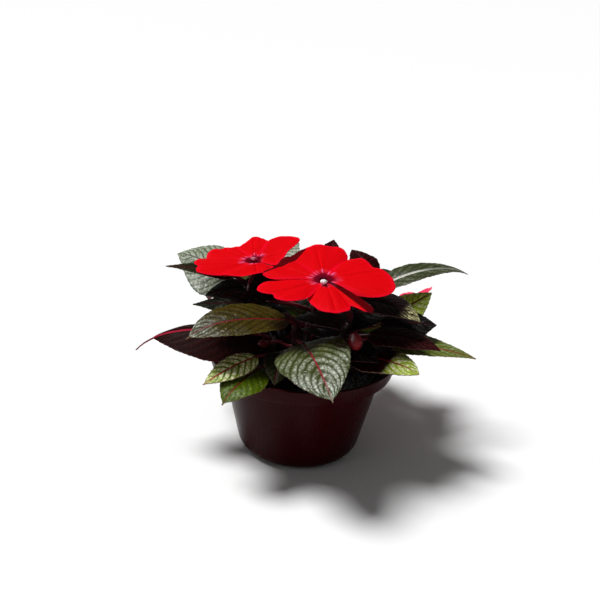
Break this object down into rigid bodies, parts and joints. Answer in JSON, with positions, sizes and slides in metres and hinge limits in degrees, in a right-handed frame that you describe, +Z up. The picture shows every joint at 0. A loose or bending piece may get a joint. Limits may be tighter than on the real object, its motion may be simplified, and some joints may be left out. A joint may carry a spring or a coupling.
{
  "type": "potted busy lizzie",
  "caption": "Bushy New Guinea busy lizzie with flat scarlet flowers over dark pointed leaves, growing in a low round plastic pot that stands on its flat base.",
  "frame": {"origin": "centre of the pot's flat underside, on the pot's own axis", "axes": "+Z up along the pot's axis, +X to the plant's right as seen from its front, +Y to its back"},
  "size_m": [0.184, 0.1708, 0.1173],
  "materials": {
    "pot": "gloss",
    "soil": "matte",
    "stem": "satin",
    "leaf": "satin",
    "young_leaf": "satin",
    "petal": "matte",
    "stalk": "satin",
    "column": "matte"
  },
  "bodies": {
    "root": {"pot": "pot", "soil": "soil", "stem_back_left": "stem", "stem_back_right": "stem", "stem_front": "stem", "stem_left": "stem", "stem_middle": "stem", "stem_right": "stem", "leaf_back_1": "leaf", "leaf_back_10": "leaf", "leaf_back_2": "leaf", "leaf_back_3": "young_leaf", "leaf_back_4": "leaf", "leaf_back_5": "leaf", "leaf_back_6": "leaf", "leaf_back_7": "young_leaf", "leaf_back_8": "leaf", "leaf_back_9": "young_leaf", "leaf_back_middle": "leaf", "leaf_back_tall": "leaf", "leaf_back_upper": "leaf", "leaf_front": "leaf", "leaf_front_left_low": "young_leaf", "leaf_front_left_lowest": "young_leaf", "leaf_front_left_upper": "leaf", "leaf_front_small": "leaf", "leaf_inner_back": "leaf", "leaf_inner_deep": "leaf", "leaf_inner_front": "leaf", "leaf_inner_left": "leaf", "leaf_inner_middle": "leaf", "leaf_inner_right": "leaf", "leaf_inner_shaded": "leaf", "leaf_left_back": "leaf", "leaf_left_inner": "leaf", "leaf_left_long": "leaf", "leaf_left_narrow": "leaf", "leaf_left_upper": "leaf", "leaf_right_back": "leaf", "leaf_right_bright": "young_leaf", "leaf_right_long": "leaf", "leaf_right_low": "young_leaf", "leaf_right_mid": "leaf", "leaf_right_top": "leaf", "leaf_right_upper": "leaf", "bloom_back_column": "column", "bloom_back_petals": "petal", "bloom_back_stalk": "stalk", "bloom_front_column": "column", "bloom_front_petals": "petal", "bloom_front_stalk": "stalk", "bloom_side_column": "column", "bloom_side_petals": "petal", "bloom_side_stalk": "stalk", "bud_back": "stalk", "bud_left": "stalk", "bud_right": "stalk"}
  },
  "joints": []
}
